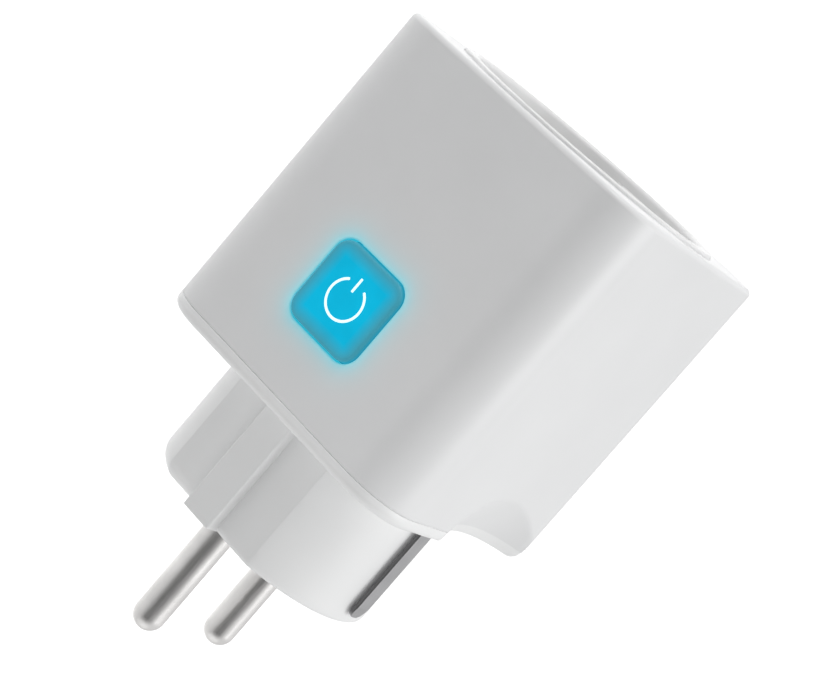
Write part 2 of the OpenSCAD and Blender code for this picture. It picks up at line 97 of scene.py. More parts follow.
BASE_R = 18.5
GUIDE_FLAT = 15.8                       # distance of a guide flat from the axis
RIB_HALF = 2.7                          # half the width of the rib on a guide flat
RIB_OUT = 17.9
BASE_WALL = 2.0
BASE_FLOOR = 2.6
BASE_END_R = 2.6                        # rounding of the end face's edge
BASE_END_SMALL = 0.9                    # and on the side of the earth clip that the photo shows
BASE_END_BLEND = 6.0                    # half the stretch over which the one becomes the other
RIB_END_R = 0.2
RIB_CORNER = 0.25                       # rounding of a rib's long edges
FLAT_CREASE = 0.08                      # half the width of the edge between a guide flat and the circle
FLAT_STEPS = 7
ARC_STEPS = 24
FOOT_R = 0.5                            # fillet where the base meets the rear plane
EARTH_HOLE = 10.0                       # distance of the earth hole from the axis
EARTH_HOLE_R = 2.6
CLIP_HALF = 1.5
CLIP_AT = 19.3                          # middle of the earth clip's sheet, from the axis
CLIP_SLOT = 19.17                       # middle of the slot that it goes through
CLIP_SLOT_HALF = 0.57
CLIP_SLOT_DEPTH = 1.7

RECESS_R = 19.75
RECESS_FLOOR = FACE - 17.5
RECESS_WALL = 1.5
FLOOR_WALL = 2.0
RING_R = 22.0
GUIDE_RIB = 18.3                        # distance of the recess's guide ribs from the axis
SOCKET_HOLE_R = 3.0
CONTACT_SLOT_HALF = 3.6                 # half the width of the slots for the side contacts
CONTACT_SLOT_EDGE = math.degrees(math.asin(CONTACT_SLOT_HALF / RECESS_R))
CONTACT_SLOT_LOW, CONTACT_SLOT_HIGH = RECESS_FLOOR + 0.6, FACE - 1.8
LEAD_IN_LOW, LEAD_IN_HIGH = FACE - 2.4, FACE - 1.5      # where the guide ribs rise out of the wall
GUIDE_RIB_EDGE = 8.2                    # half a rib's width, in degrees
GUIDE_RIB_SIDE = {7.7: 0.85, 7.9: 0.12}                 # share of its height at angles near its edge

PIN_R = 2.4
PIN_X = (pin_low.x + pin_high.x) / 2
PIN_TIP = pin_low.z
PIN_END = pin_high.z
PIN_HOLE_R = PIN_R + 0.03
SHANK_R = 2.2                           # the pins inside the base
COLLAR_R = 3.6                          # the pins' collars, inside the casing
COLLAR_LOW, COLLAR_HIGH = 9.9, 11.1
STUD_R = 1.5                            # the pins above their collars
SCREW_PLACES = ((18.3, 18.3), (18.3, -18.3), (-19.2, 10.0), (-19.2, -10.0))
SCREW_SEAT = 2.9                        # radius and depth of the screws' counterbores
SCREW_SEAT_DEPTH = 1.8

STRAP_T = 0.7                           # sheet of the earth straps, which follow STRAP_PATH in (v, w)
STRAP_BEND = 0.8
STRAP_EDGE = 0.14
STRAP_WEB = 2.5                         # half widths of the strap above the clip
STRAP_SPRING = 3.0
STRAP_PATH = [
    (CLIP_AT - 0.25, 2.1), (CLIP_AT, 3.9), (CLIP_AT, REAR + 0.7), (16.2, 21.6), (16.2, 23.6),
    (20.4, 30.6), (20.4, RECESS_FLOOR + 4), (17.5, RECESS_FLOOR + 8.5), (17.5, RECESS_FLOOR + 11),
    (20.3, RECESS_FLOOR + 15),
]

CAP_HALF = 6.5
CAP_CORNER = 2.4
CAP_W = (cap_low.z + cap_high.z) / 2
CAP_FRONT = cap_high.x
CAP_EDGE_R = 0.5
CAP_FLANGE = 1.1                        # the cap's flange behind the casing's wall
CAP_FLANGE_T = 1.15
CAP_BOSS_R = 1.5
OPENING_GAP = 0.2
OPENING_EDGE = 0.3
WINDOW = CAP_HALF + 3.0                 # half the size of the flat patch round the button

SYMBOL_R = 2.87                         # middle of the power symbol's ring
SYMBOL_STROKE = 0.38
SYMBOL_GAP = 31.0                       # half the ring's opening, in degrees
SYMBOL_BAR = (1.35, 3.6)
SYMBOL_CORNER = 0.12

NODE_WELD = 0.001                       # the CAD's own nodes: their edges are softened a little
NODE_EDGE_R = 0.08
NODE_EDGE_ANGLE = math.radians(35)      # sharper edges are softened
FLAT_ANGLE = math.radians(0.5)          # and flatter ones merged away
CROWDED_NODES = ("contact_carrier", "light_guide", "relay_moving_contact", "shutter_spring")

# ---------- looks and stage ----------

HALO_COLOUR = (0.02, 0.50, 0.62)        # the button's light on the housing round it
HALO_REACH = 1.25
HALO_STRENGTH = 0.62
HALO_SHADE = (0.25, 0.62, 0.66)
HALO_TINT = 0.8                         # share of HALO_SHADE in the plastic at the button's rim
CAP_MIDDLE = (0.0, 0.16, 0.25)          # the button's colour and glow in its middle, with painted shade dulling both at its edges
CAP_EDGE = (0.07, 0.25, 0.32)
CAP_MIDDLE_GLOW = (0.0, 0.36, 0.56)
CAP_EDGE_GLOW = (0.01, 0.16, 0.22)
SYMBOL_COLOUR = (0.55, 0.95, 1.0)       # light through the symbol
SYMBOL_STRENGTH = 0.7
GUIDE_COLOUR = (0.1, 0.75, 1.0)         # and through the clear pieces behind the button
GUIDE_STRENGTH = 0.5
ALONG_PIN = (6, 0.15, 6)                # stretches drawing marks along the plug's axis
MARKS = 900.0                           # and how fine they are

FLOOR_HALF = 6.0
FLOOR_Z = -0.45
FLOOR_GLOW = 0.72                       # the floor glows round FLOOR_LAMP, as if lit from below
FLOOR_DIM = 0.08
FLOOR_FADE = (0.6, 1.2)                 # distances between which that light fades
FLOOR_LAMP = Vector((-1.10, 0.12, FLOOR_Z))
STUDIO = 0.65                           # brightness of the studio's walls
STUDIO_DARK = 0.15                      # share of it on the side that isn't lit
UNLIT_SIDE = Vector((0.87, 0.05, 0.47)).normalized()
CAMERA_PLACE = Vector((0.3016, -0.0857, 0.1602))
CAMERA_FORWARD = Vector((-0.872, 0.146, -0.468))
CAMERA_UP = Vector((0.211, -0.750, -0.626))
CAMERA_LENS = 108.1


def at(u, v, w):
    """A place in the plug's own millimetres, as a point of the row frame in metres."""
    return Vector((u, -w, v)) * MM


# ---------- outlines ----------


def spaced(a, b, step):
    """Evenly spaced values from a to b, both included, no further apart than step."""
    n = max(1, math.ceil(abs(b - a) / step))
    return [a + (b - a) * i / n for i in range(n + 1)]


def arc(cx, cy, r, start, end, step=5.0):
    """Points on a circle between two angles in degrees."""
    return [
        (cx + r * math.cos(math.radians(t)), cy + r * math.sin(math.radians(t)))
        for t in spaced(start, end, step)
    ]


def circle_loop(cx, cy, r, count):
    """Points all the way round a circle."""
    turn = 2 * math.pi / count
    return [(cx + r * math.cos(i * turn), cy + r * math.sin(i * turn)) for i in range(count)]


def rounded_square(half, r, steps=8):
    """A square outline with round corners, counter-clockwise."""
    out = []
    for k, (sx, sy) in enumerate(((1, 1), (-1, 1), (-1, -1), (1, -1))):
        out += arc(sx * (half - r), sy * (half - r), r, 90 * k, 90 * k + 90, 90 / steps)
    return out


def fillet(points, radii, step=12.0):
    """A closed polygon with its corners rounded, each by its own radius."""
    out = []
    n = len(points)
    for i, (p, r) in enumerate(zip(points, radii)):
        if r <= 0:
            out.append(p)
            continue
        p = Vector(p)
        to_last = (Vector(points[i - 1]) - p).normalized()
        to_next = (Vector(points[(i + 1) % n]) - p).normalized()
        half = to_last.angle(to_next) / 2
        centre = p + (to_last + to_next).normalized() * (r / math.sin(half))
        first = p + to_last * (r / math.tan(half)) - centre
        last = p + to_next * (r / math.tan(half)) - centre
        sweep = first.angle_signed(last)
        for t in spaced(0, sweep, math.radians(step)):
            turn = Matrix.Rotation(-t, 2)
            out.append(tuple(centre + turn @ first))
    return out


def grown(loop, d):
    """The loop moved outwards by d, mitred at its corners."""
    out = []
    n = len(loop)
    for i in range(n):
        p = Vector(loop[i])
        before = (p - Vector(loop[i - 1])).normalized()
        after = (Vector(loop[(i + 1) % n]) - p).normalized()
        normal = Vector((before.y + after.y, -before.x - after.x))
        scale = 1 + before.dot(after)
        out.append(tuple(p + normal * (d / scale)))
    return out


# ---------- mesh tools ----------


class Shell:
    """A mesh that is built up from closed rings of points in (u, v, w)."""

    def __init__(self):
        self.bm = bmesh.new()

    def ring(self, points):
        return [self.bm.verts.new(at(*p)) for p in points]

    def join(self, a, b, skip=()):
        """Quads between two rings of the same length, apart from the columns in skip."""
        n = len(a)
        for i in range(n):
            if i in skip:
                continue
            j = (i + 1) % n
            self.bm.faces.new((a[i], a[j], b[j], b[i]))

    def sweep(self, rings):
        made = [self.ring(r) for r in rings]
        for a, b in zip(made, made[1:]):
            self.join(a, b)
        return made

    def edge(self, a, b):
        found = self.bm.edges.get((a, b))
        return found if found else self.bm.edges.new((a, b))

    def fill(self, *loops):
        """A flat face between one outer ring and any number of rings inside it."""
        edges = []
        for loop in loops:
            edges += [self.edge(loop[i - 1], loop[i]) for i in range(len(loop))]
        bmesh.ops.triangle_fill(self.bm, use_beauty=True, edges=edges)

    def cap(self, loop):
        self.bm.faces.new(loop)

    def finish(self, name, body, nodes, material, sharp=40.0):
        """Ends the mesh as one piece of the object, on a body, in place of CAD nodes."""
        bmesh.ops.remove_doubles(self.bm, verts=self.bm.verts, dist=1e-7)
        bmesh.ops.recalc_face_normals(self.bm, faces=self.bm.faces)
        mesh = bpy.data.meshes.new(name)
        self.bm.to_mesh(mesh)
        self.bm.free()
        return piece(name, mesh, body, nodes, material, sharp)


def piece(name, mesh, body, nodes, material, sharp):
    """A mesh as one piece of the object, with flat faces that stay flat beside soft edges."""
    obj = bpy.data.objects.new(name, mesh)
    bpy.context.scene.collection.objects.link(obj)
    mesh.shade_smooth()
    mesh.set_sharp_from_angle(angle=math.radians(sharp))
    weighted = obj.modifiers.new("even_normals", "WEIGHTED_NORMAL")
    weighted.keep_sharp = True
    weighted.weight = 100
    mesh.materials.append(material)
    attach(obj, body)
    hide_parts(*nodes)
    return obj


def quarter(radius, steps=5):
    """(inset, rise) pairs of a quarter round, from the side to the end face."""
    return [
        (radius * (1 - math.cos(t)), radius * math.sin(t))
        for t in spaced(0, math.pi / 2, math.pi / 2 / steps)
    ]


# ---------- casing ----------


def casing_outline():
    """Points and outward normals round the casing, close together where the scoops are."""
    flat = HALF - CORNER
    coarse = [-flat, -WINDOW, -WINDOW / 2, 0, WINDOW / 2, WINDOW, flat]
    fine = spaced(-flat, flat, 0.42)
    out = []
    for k in range(4):
        turn = Matrix.Rotation(math.radians(90 * k), 2)
        stops = fine if k % 2 else coarse
        for s in stops[1:]:
            out.append((turn @ Vector((HALF, s)), turn @ Vector((1, 0))))
        for t in spaced(0, 90, 4.5)[1:]:
            normal = turn @ Vector((math.cos(math.radians(t)), math.sin(math.radians(t))))
            middle = turn @ Vector((flat, flat))
            out.append((middle + normal * CORNER, normal))
    return out


def scoop_surface(u, w, thicker=0.0):
    """How far out a scoop's surface lies at (u, w); thicker gives the back of its wall."""
    start = Vector((u, 0, w)) - SCOOP_FOOT
    along = start.dot(SCOOP_AXIS)
    square = 1 - SCOOP_AXIS.y**2
    linear = start.y - along * SCOOP_AXIS.y
    rest = linear**2 - square * (start.length_squared - along**2 - (SCOOP_R + thicker) ** 2)
    return (-linear - math.sqrt(rest)) / square if rest > 0 else math.inf


def soft_min(a, b, blend):
    """The smaller value, with a rounded change from one to the other."""
    if b == math.inf:
        return a
    near = max(blend - abs(a - b), 0) / blend if blend else 0
    return min(a, b) - near * near * blend / 4


def wall_ring(outline, inset, w, blend=SCOOP_BLEND, thicker=0.0, back=0.0):
    """One ring of the casing's wall, pushed in where a scoop cuts it."""
    ring = []
    for p, normal in outline:
        u, v = p - normal * inset
        limit = scoop_surface(u, w, thicker) - back
        side = 1 if v > 0 else -1
        ring.append((u, side * soft_min(abs(v), limit, blend), w))
    return ring


def round_ring(outline, r, w):
    """A round ring with one point for each point of the casing's outline."""
    return [(r * p.x / p.length, r * p.y / p.length, w) for p, _ in outline]


def build_housing(material):
    shell = Shell()
    outline = casing_outline()
    hole_r, mouth, fine = RING_R + 0.1, 0.2, 0.35
    window_low, window_high = CAP_W - WINDOW, CAP_W + WINDOW
    # close levels where the scoops are, and wide ones above them
    levels = spaced(SEAM + SEAM_R, window_low, fine) + spaced(window_low, SCOOP_TOP, fine)[1:]
    levels += spaced(SCOOP_TOP, window_high, 4)[1:] + spaced(window_high, TOP - END_R, 5)[1:]
    # the outside, up from the seam and over the end to the round hole
    profile = [wall_ring(outline, a, SEAM + SEAM_R - b) for a, b in reversed(quarter(SEAM_R, 3))]
    profile += [wall_ring(outline, 0, w) for w in levels[1:]]
    profile += [wall_ring(outline, a, TOP - END_R + b) for a, b in quarter(END_R)[1:]]
    profile += [round_ring(outline, hole_r + a, TOP - mouth + b) for a, b in reversed(quarter(mouth, 3))]
    profile.append(round_ring(outline, hole_r, TOP - TOP_WALL))
    outer_count = len(profile)
    # the inside, back down to the seam
    inner_levels = [TOP - TOP_WALL, window_high, window_low] + spaced(SCOOP_TOP, SEAM, 0.7)
    for w in sorted(set(round(w, 4) for w in inner_levels), reverse=True):
        profile.append(wall_ring(outline, WALL, w, thicker=SCOOP_WALL))
    rings = [shell.ring(r) for r in profile]

    # both walls, with a window left in each for the button's opening
    columns = window_columns(outline, WINDOW)
    for k in range(len(rings)):
        after = (k + 1) % len(rings)
        middle = (profile[k][columns[0]][2] + profile[after][columns[0]][2]) / 2
        cut = window_low < middle < window_high and k != outer_count - 1
        shell.join(rings[k], rings[after], skip=columns[:-1] if cut else ())
    cut_button_opening(shell, rings, profile, columns, window_low, window_high)
    return shell.finish("housing_shell", "casing", ["housing"], material)


def window_columns(outline, reach):
    """The outline's points, in order, on the button's side within reach of the middle."""
    found = [
        i for i, (p, normal) in enumerate(outline)
        if normal.x > 0.9999 and abs(p.y) <= reach + 1e-6
    ]
    return sorted(found, key=lambda i: outline[i][0].y)


def cut_button_opening(shell, rings, profile, columns, low, high):
    """Fills both windows left in the button's side with a flat wall round the opening."""
    def rows(surface_u):
        """The rings that cross the window in one surface, from the lowest."""
        crossing = [(ring[columns[0]], k) for k, ring in enumerate(profile)]
        close = [
            (w, k) for (u, _, w), k in crossing
            if abs(u - surface_u) < 1e-6 and low - 1e-4 <= w <= high + 1e-4
        ]
        return [k for _, k in sorted(close)]

    def boundary(surface_u):
        found = rows(surface_u)
        first, last = columns[0], columns[-1]
        loop = [rings[found[0]][c] for c in columns]
        loop += [rings[k][last] for k in found[1:]]
        loop += [rings[found[-1]][c] for c in reversed(columns[:-1])]
        loop += [rings[k][first] for k in reversed(found[1:-1])]
        return loop

    opening = rounded_square(CAP_HALF + OPENING_GAP, CAP_CORNER + OPENING_GAP)
    sides = [
        on_cap(grown(opening, a), HALF - OPENING_EDGE + b)
        for a, b in reversed(quarter(OPENING_EDGE, 4))
    ]
    made = shell.sweep(sides + [on_cap(opening, HALF - WALL)])
    shell.fill(boundary(HALF), made[0])
    shell.fill(boundary(HALF - WALL), made[-1])


def end_radius(y):
    """Rounding of the end face's edge: full on one side of the base, small on the other."""
    share = min(1, max(0, (BASE_END_BLEND - y) / (2 * BASE_END_BLEND)))
    return BASE_END_SMALL + (BASE_END_R - BASE_END_SMALL) * share * share * (3 - 2 * share)


def end_inset(radius, w):
    """How far a rounded edge of this radius is pulled in, at height w above the end face."""
    below = max(radius - w, 0)
    return radius - math.sqrt(radius**2 - below**2)


def foot_radius(x, y):
    """Fillet at the base's foot, which fades away behind the earth clips."""
    if abs(y) < BASE_R - 1.5:
        return FOOT_R
    return max(0.05, FOOT_R * min(1, (abs(x) - CLIP_HALF - 0.7) / 2))


def base_quarter(side, w):
    """A quarter of the base's outline at height w: from the rib, by the guide flat, round to x = 0."""
    on_rib = end_inset(RIB_END_R, w)
    root = RIB_HALF - on_rib
    points = arc(RIB_OUT - RIB_CORNER, RIB_HALF - RIB_CORNER, RIB_CORNER - on_rib, 0, 90, 30)
    flat_end = math.sqrt(BASE_R**2 - GUIDE_FLAT**2)
    inset = end_inset(end_radius(side * flat_end), w)
    corner = math.sqrt((BASE_R - inset) ** 2 - (GUIDE_FLAT - inset) ** 2)
    for i in range(FLAT_STEPS + 1):
        share = i / FLAT_STEPS
        full_y = RIB_HALF + (flat_end - RIB_HALF) * share
        y = root + (corner - FLAT_CREASE - root) * share
        points.append((GUIDE_FLAT - end_inset(end_radius(side * full_y), w), y))
    start = math.atan2(corner, GUIDE_FLAT - inset) + FLAT_CREASE / BASE_R
    for i in range(ARC_STEPS + 1):
        turn = start + (math.pi / 2 - start) * i / ARC_STEPS
        r = BASE_R - end_inset(end_radius(side * BASE_R * math.sin(turn)), w)
        points.append((r * math.cos(turn), r * math.sin(turn)))
    return points


def base_outline(w):
    """The plug's base at height w: a circle with two guide flats, and a rib on each."""
    upper, lower = base_quarter(1, w), base_quarter(-1, w)
    out = upper + [(-x, y) for x, y in reversed(upper[:-1])]
    return out + [(-x, -y) for x, y in lower] + [(x, -y) for x, y in reversed(lower[:-1])]


def inner_point(x, y):
    """The point of the base's hollow in the same direction as (x, y)."""
    far = math.hypot(x, y)
    reach = min(
        BASE_R - BASE_WALL,
        (GUIDE_FLAT - BASE_WALL) * far / max(abs(x), 1e-6),
    )
    return x * reach / far, y * reach / far


def hole(shell, cx, cy, r, depth_from, depth_to, rim=0.2, count=48):
    """A round hole with a softened mouth: returns its first ring and its last."""
    sign = 1 if depth_to > depth_from else -1
    rings = []
    for a, b in reversed(quarter(rim, 3)):
        w = depth_from + sign * (rim - b)
        rings.append([(x, y, w) for x, y in circle_loop(cx, cy, r + a, count)])
    rings.append([(x, y, depth_to) for x, y in circle_loop(cx, cy, r, count)])
    made = shell.sweep(rings)
    return made[0], made[-1]


def clip_pocket(shell, side):
    """The slot in the rear face that an earth clip goes through: returns its mouth."""
    corners = [
        (x * (CLIP_HALF + 0.3), side * CLIP_SLOT + y * CLIP_SLOT_HALF)
        for x, y in ((1, 1), (-1, 1), (-1, -1), (1, -1))
    ]
    outline = fillet(corners, [0.2] * 4, 30)
    made = shell.sweep([[(x, y, w) for x, y in outline] for w in (REAR, REAR + CLIP_SLOT_DEPTH)])
    shell.fill(made[1])
    return made[0]


def rim_profile():
    """The rim's rings: from the seam, down its side and round to the rear plane."""
    outline = casing_outline()
    in_scoop = 0.12                     # share of the rounding that a scoop's edge gets
    rings = [wall_ring(outline, WALL, SEAM, back=SCOOP_WALL)]
    rings += [wall_ring(outline, a, SEAM - SEAM_R + b) for a, b in reversed(quarter(SEAM_R, 3))]
    rings += [wall_ring(outline, a, REAR + REAR_R - b, back=a * in_scoop) for a, b in quarter(REAR_R, 7)]
    return rings


def base_profile(loop):
    """The base's rings: from the rear plane, down its side and round to the end face."""
    rings = []
    outward = grown(loop, 1)
    for t in spaced(math.pi / 2, 0, math.pi / 12):
        ring = []
        for (x, y), (far_x, far_y) in zip(loop, outward):
            r = foot_radius(x, y)
            out = r * (1 - math.cos(t))
            ring.append((x + (far_x - x) * out, y + (far_y - y) * out, REAR - r * (1 - math.sin(t))))
        rings.append(ring)
    levels = spaced(REAR - FOOT_R - 1, BASE_END_R, 4)
    levels += [BASE_END_R * (1 - math.sin(t)) for t in spaced(0, math.pi / 2, math.pi / 28)[1:]]
    return rings + [[(x, y, w) for x, y in base_outline(w)] for w in levels]


def build_rear_cover(material):
    """The rim below the seam, and the hollow base, joined by the rear face with its seats."""
    shell = Shell()
    loop = base_outline(BASE_END_R)
    rim_rings = shell.sweep(rim_profile())
    base_rings = shell.sweep(base_profile(loop))
    inner_rings = shell.sweep([[(*inner_point(x, y), w) for x, y in loop] for w in (SEAM, BASE_FLOOR)])
    # holes, and the flat faces between everything
    seats = [clip_pocket(shell, side) for side in (-1, 1)]
    for u, v in SCREW_PLACES:
        mouth, floor = hole(shell, u, v, SCREW_SEAT, REAR, REAR + SCREW_SEAT_DEPTH)
        shell.cap(floor)
        seats.append(mouth)
    shell.fill(rim_rings[-1], base_rings[0], *seats)
    mouths, floors = [], []
    for x, y, r in ((PIN_X, 0, PIN_HOLE_R), (-PIN_X, 0, PIN_HOLE_R), (0, EARTH_HOLE, EARTH_HOLE_R)):
        mouth, floor = hole(shell, x, y, r, 0.0, BASE_FLOOR)
        mouths.append(mouth)
        floors.append(floor)
    shell.fill(base_rings[-1], *mouths)
    shell.fill(inner_rings[-1], *floors)
    shell.fill(rim_rings[0], inner_rings[0])
    return shell.finish("rear_cover_shell", "casing", ["rear_cover"], material)


# ---------- button ----------


def on_cap(loop, u):
    """An outline drawn in (v, w) round the button's middle, as a ring at depth u."""
    return [(u, a, CAP_W + b) for a, b in loop]


def build_button(material):
    shell = Shell()
    outline = rounded_square(CAP_HALF, CAP_CORNER)
    flange = grown(outline, CAP_FLANGE)
    flange_front = HALF - WALL - 0.2
    flange_back = flange_front - CAP_FLANGE_T
    rings = [
        on_cap(grown(outline, -a), CAP_FRONT - CAP_EDGE_R + b)
        for a, b in reversed(quarter(CAP_EDGE_R, 5))
    ]
    rings += [on_cap(outline, flange_front), on_cap(flange, flange_front), on_cap(flange, flange_back)]
    made = shell.sweep(rings)
    shell.fill(made[0])
    boss = circle_loop(0, 0, CAP_BOSS_R, 32)
    boss_rings = shell.sweep([on_cap(boss, flange_back), on_cap(boss, cap_low.x)])
    shell.fill(made[-1], boss_rings[0])
    shell.cap(boss_rings[1])
    return shell.finish("button_cap_moulding", "button", ["button_cap"], material)


def plate(shell, outline, low_u, high_u, edge):
    """A thin solid of one outline, lying on the button, with softened edges."""
    rings = [on_cap(outline, low_u)]
    rings += [on_cap(grown(outline, -a), high_u - edge + b) for a, b in quarter(edge, 3)]
    made = shell.sweep(rings)
    shell.fill(made[0])
    shell.fill(made[-1])


def build_symbol(material):
    shell = Shell()
    half, (low, high) = SYMBOL_STROKE / 2, SYMBOL_BAR
    start, end = 90 + SYMBOL_GAP, 450 - SYMBOL_GAP
    ring = arc(0, 0, SYMBOL_R + half, start, end, 4) + arc(0, 0, SYMBOL_R - half, end, start, 4)
    ends = {0, len(ring) // 2 - 1, len(ring) // 2, len(ring) - 1}
    ring = fillet(ring, [SYMBOL_CORNER if i in ends else 0 for i in range(len(ring))], 20)
    bar = fillet([(half, low), (half, high), (-half, high), (-half, low)], [SYMBOL_CORNER] * 4, 20)
    sunk, proud = 0.15, 0.03
    for outline in (ring, bar):
        plate(shell, outline, CAP_FRONT - sunk, CAP_FRONT + proud, proud)
    return shell.finish("power_symbol_inlay", "button", ["power_symbol"], material)


# ---------- pins and earth straps ----------


def build_pin(name, node, side, material):
    shell = Shell()
    profile = [
        (PIN_R * math.sin(t), PIN_TIP + PIN_R * (1 - math.cos(t)))
        for t in spaced(0.06, math.pi / 2, math.pi / 24)
    ]
    profile += [
        (PIN_R, -8.0), (PIN_R, 0.0), (SHANK_R, 0.05), (SHANK_R, COLLAR_LOW),
        (COLLAR_R - 0.1, COLLAR_LOW + 0.1), (COLLAR_R, COLLAR_LOW + 0.2),
        (COLLAR_R, COLLAR_HIGH - 0.2), (COLLAR_R - 0.1, COLLAR_HIGH - 0.1), (STUD_R, COLLAR_HIGH),
        (STUD_R, PIN_END - 0.2), (STUD_R - 0.2, PIN_END),
    ]
    rings = [[(side * PIN_X + x, y, w) for x, y in circle_loop(0, 0, r, 64)] for r, w in profile]
    made = shell.sweep(rings)
    shell.cap(made[0])
    shell.cap(made[-1])
    return shell.finish(name, "casing", [node], material)


def strap_half_width(w):
    """Half the sheet's width at height w: a round-ended clip, a broader web, the broad spring."""
    round_at = STRAP_PATH[0][1] + CLIP_HALF - 0.2
    shoulder, knee = 0.4, RECESS_FLOOR - 10
    if w < round_at:
        return math.sqrt(max(CLIP_HALF**2 - (round_at - w) ** 2, 0.2))
    if w < SEAM:
        return CLIP_HALF
    if w < SEAM + shoulder:
        return CLIP_HALF + (STRAP_WEB - CLIP_HALF) * (w - SEAM) / shoulder
    if w < knee:
        return STRAP_WEB
    return min(STRAP_SPRING, STRAP_WEB + (w - knee) / 2)


def rounded_path(points, r):
    """An open path with its bends rounded."""
    closed = fillet(points, [0] + [r] * (len(points) - 2) + [0], 15)
    out = [closed[0]]
    for p in closed[1:]:
        last = Vector(out[-1])
        steps = max(1, int((Vector(p) - last).length / 1.2))
        out += [tuple(last.lerp(Vector(p), (i + 1) / steps)) for i in range(steps)]
    return out


def build_strap(name, node, side, material):
    shell = Shell()
    path = rounded_path(STRAP_PATH, STRAP_BEND)
    first, second = Vector(path[0]), Vector(path[1])
    # more rings where the clip's end is round
    path[1:1] = [tuple(first.lerp(second, t)) for t in (0.15, 0.35, 0.6)]
    thick = STRAP_T / 2
    rings = []
    for i, p in enumerate(path):
        along = (Vector(path[min(i + 1, len(path) - 1)]) - Vector(path[max(i - 1, 0)])).normalized()
        normal = Vector((along.y, -along.x))
        half = strap_half_width(p[1])
        corners = [(half, thick), (-half, thick), (-half, -thick), (half, -thick)]
        section = fillet(corners, [STRAP_EDGE] * 4, 30)
        ring = []
        for a, b in section:
            q = Vector(p) + normal * b
            ring.append((a, side * q.x, q.y))
        rings.append(ring)
    made = shell.sweep(rings)
    shell.cap(made[0])
    shell.cap(made[-1])
    return shell.finish(name, "casing", [node], material, sharp=60)


# ---------- socket ----------


def recess_angles():
    """Angles in degrees round the recess, from the line through the pin holes."""
    quarter_turn = spaced(0, 7.3, 1.5) + [*GUIDE_RIB_SIDE, GUIDE_RIB_EDGE]
    quarter_turn += spaced(GUIDE_RIB_EDGE, 90 - CONTACT_SLOT_EDGE, 2.0)[1:]
    quarter_turn += spaced(90 - CONTACT_SLOT_EDGE, 90, 2.0)[1:]
    half_turn = quarter_turn + [180 - t for t in reversed(quarter_turn[:-1])]
    return half_turn[:-1] + [180 + t for t in half_turn[:-1]]


def recess_radius(angle, w):
    """The recess's wall, with a guide rib on each side that begins below the lead-in."""
    off = abs((angle + 90) % 180 - 90)
    if w > LEAD_IN_HIGH or off >= GUIDE_RIB_EDGE:
        return RECESS_R
    rise = min(1, (LEAD_IN_HIGH - w) / (LEAD_IN_HIGH - LEAD_IN_LOW))
    share = next((s for a, s in GUIDE_RIB_SIDE.items() if abs(off - a) < 1e-6), 1.0)
    return RECESS_R - (RECESS_R - GUIDE_RIB) * rise * share


def polar_ring(angles, radii, w):
    return [
        (r * math.cos(math.radians(t)), r * math.sin(math.radians(t)), w)
        for t, r in zip(angles, radii)
    ]


def even_ring(angles, r, w):
    return polar_ring(angles, [r] * len(angles), w)


def recess_ring(angles, w, inset=0.0):
    return polar_ring(angles, [recess_radius(t, w) - inset for t in angles], w)


def in_slot(angle):
    """Whether an angle lies within one of the slots for the side contacts."""
    return min(abs(angle - 90), abs(angle - 270)) <= CONTACT_SLOT_EDGE + 1e-6


def line_slots(shell, wall, back, columns):
    """Joins the recess's wall to its back round each slot; wall holds the rings from high to low."""
    high, low, count = wall[0], wall[-1], len(wall[0])
    for i in columns:
        j = (i + 1) % count
        shell.bm.faces.new((high[i], high[j], back[0][j], back[0][i]))
        shell.bm.faces.new((low[i], low[j], back[1][j], back[1][i]))
        for c in (i, j):
            if (c not in columns) or ((c - 1) % count not in columns):
                shell.bm.faces.new([ring[c] for ring in wall] + [back[1][c], back[0][c]])


def build_socket(material):
    """The recess, with its two guide ribs, the slots for the side contacts and the pin holes."""
    shell = Shell()
    angles = recess_angles()
    edge, mouth, foot, ring_height = 0.3, 0.7, 0.5, 1.6
    # from the foot of the face ring, over it, down the wall and round to the floor
    profile = [even_ring(angles, RING_R, FACE - ring_height)]
    profile += [even_ring(angles, RING_R - a, FACE - edge + b) for a, b in quarter(edge, 4)]
    profile += [even_ring(angles, RECESS_R + a, FACE - mouth + b) for a, b in reversed(quarter(mouth, 6))]
    high_row = len(profile) + 1
    low_row = high_row + 2
    wall_levels = (LEAD_IN_HIGH, CONTACT_SLOT_HIGH, LEAD_IN_LOW, CONTACT_SLOT_LOW)
    profile += [recess_ring(angles, w) for w in wall_levels]
    profile += [recess_ring(angles, RECESS_FLOOR + foot - b, a) for a, b in quarter(foot, 4)[1:]]
    rings = [shell.ring(r) for r in profile]
    back_levels = (FACE - ring_height, CONTACT_SLOT_HIGH, CONTACT_SLOT_LOW, RECESS_FLOOR - FLOOR_WALL)
    back_rings = [shell.ring(even_ring(angles, RECESS_R + RECESS_WALL, w)) for w in back_levels]
    # the walls, with the slots left open
    columns = [i for i, t in enumerate(angles) if in_slot(t) and in_slot(angles[(i + 1) % len(angles)])]
    for k, (a, b) in enumerate(zip(rings, rings[1:])):
        shell.join(a, b, skip=columns if high_row <= k < low_row else ())
    for k, (a, b) in enumerate(zip(back_rings, back_rings[1:])):
        shell.join(a, b, skip=columns if k == 1 else ())
    shell.join(rings[0], back_rings[0])
    line_slots(shell, rings[high_row:low_row + 1], back_rings[1:3], columns)
    # the floor, with its two pin holes
    mouths, floors = [], []
    for side in (-1, 1):
        top, bottom = hole(
            shell, side * PIN_X, 0, SOCKET_HOLE_R, RECESS_FLOOR, RECESS_FLOOR - FLOOR_WALL, 0.4
        )
        mouths.append(top)
        floors.append(bottom)
    shell.fill(rings[-1], *mouths)
    shell.fill(back_rings[-1], *floors)
    return shell.finish("socket_recess", "casing", ["socket_insert"], material)


# ---------- materials ----------


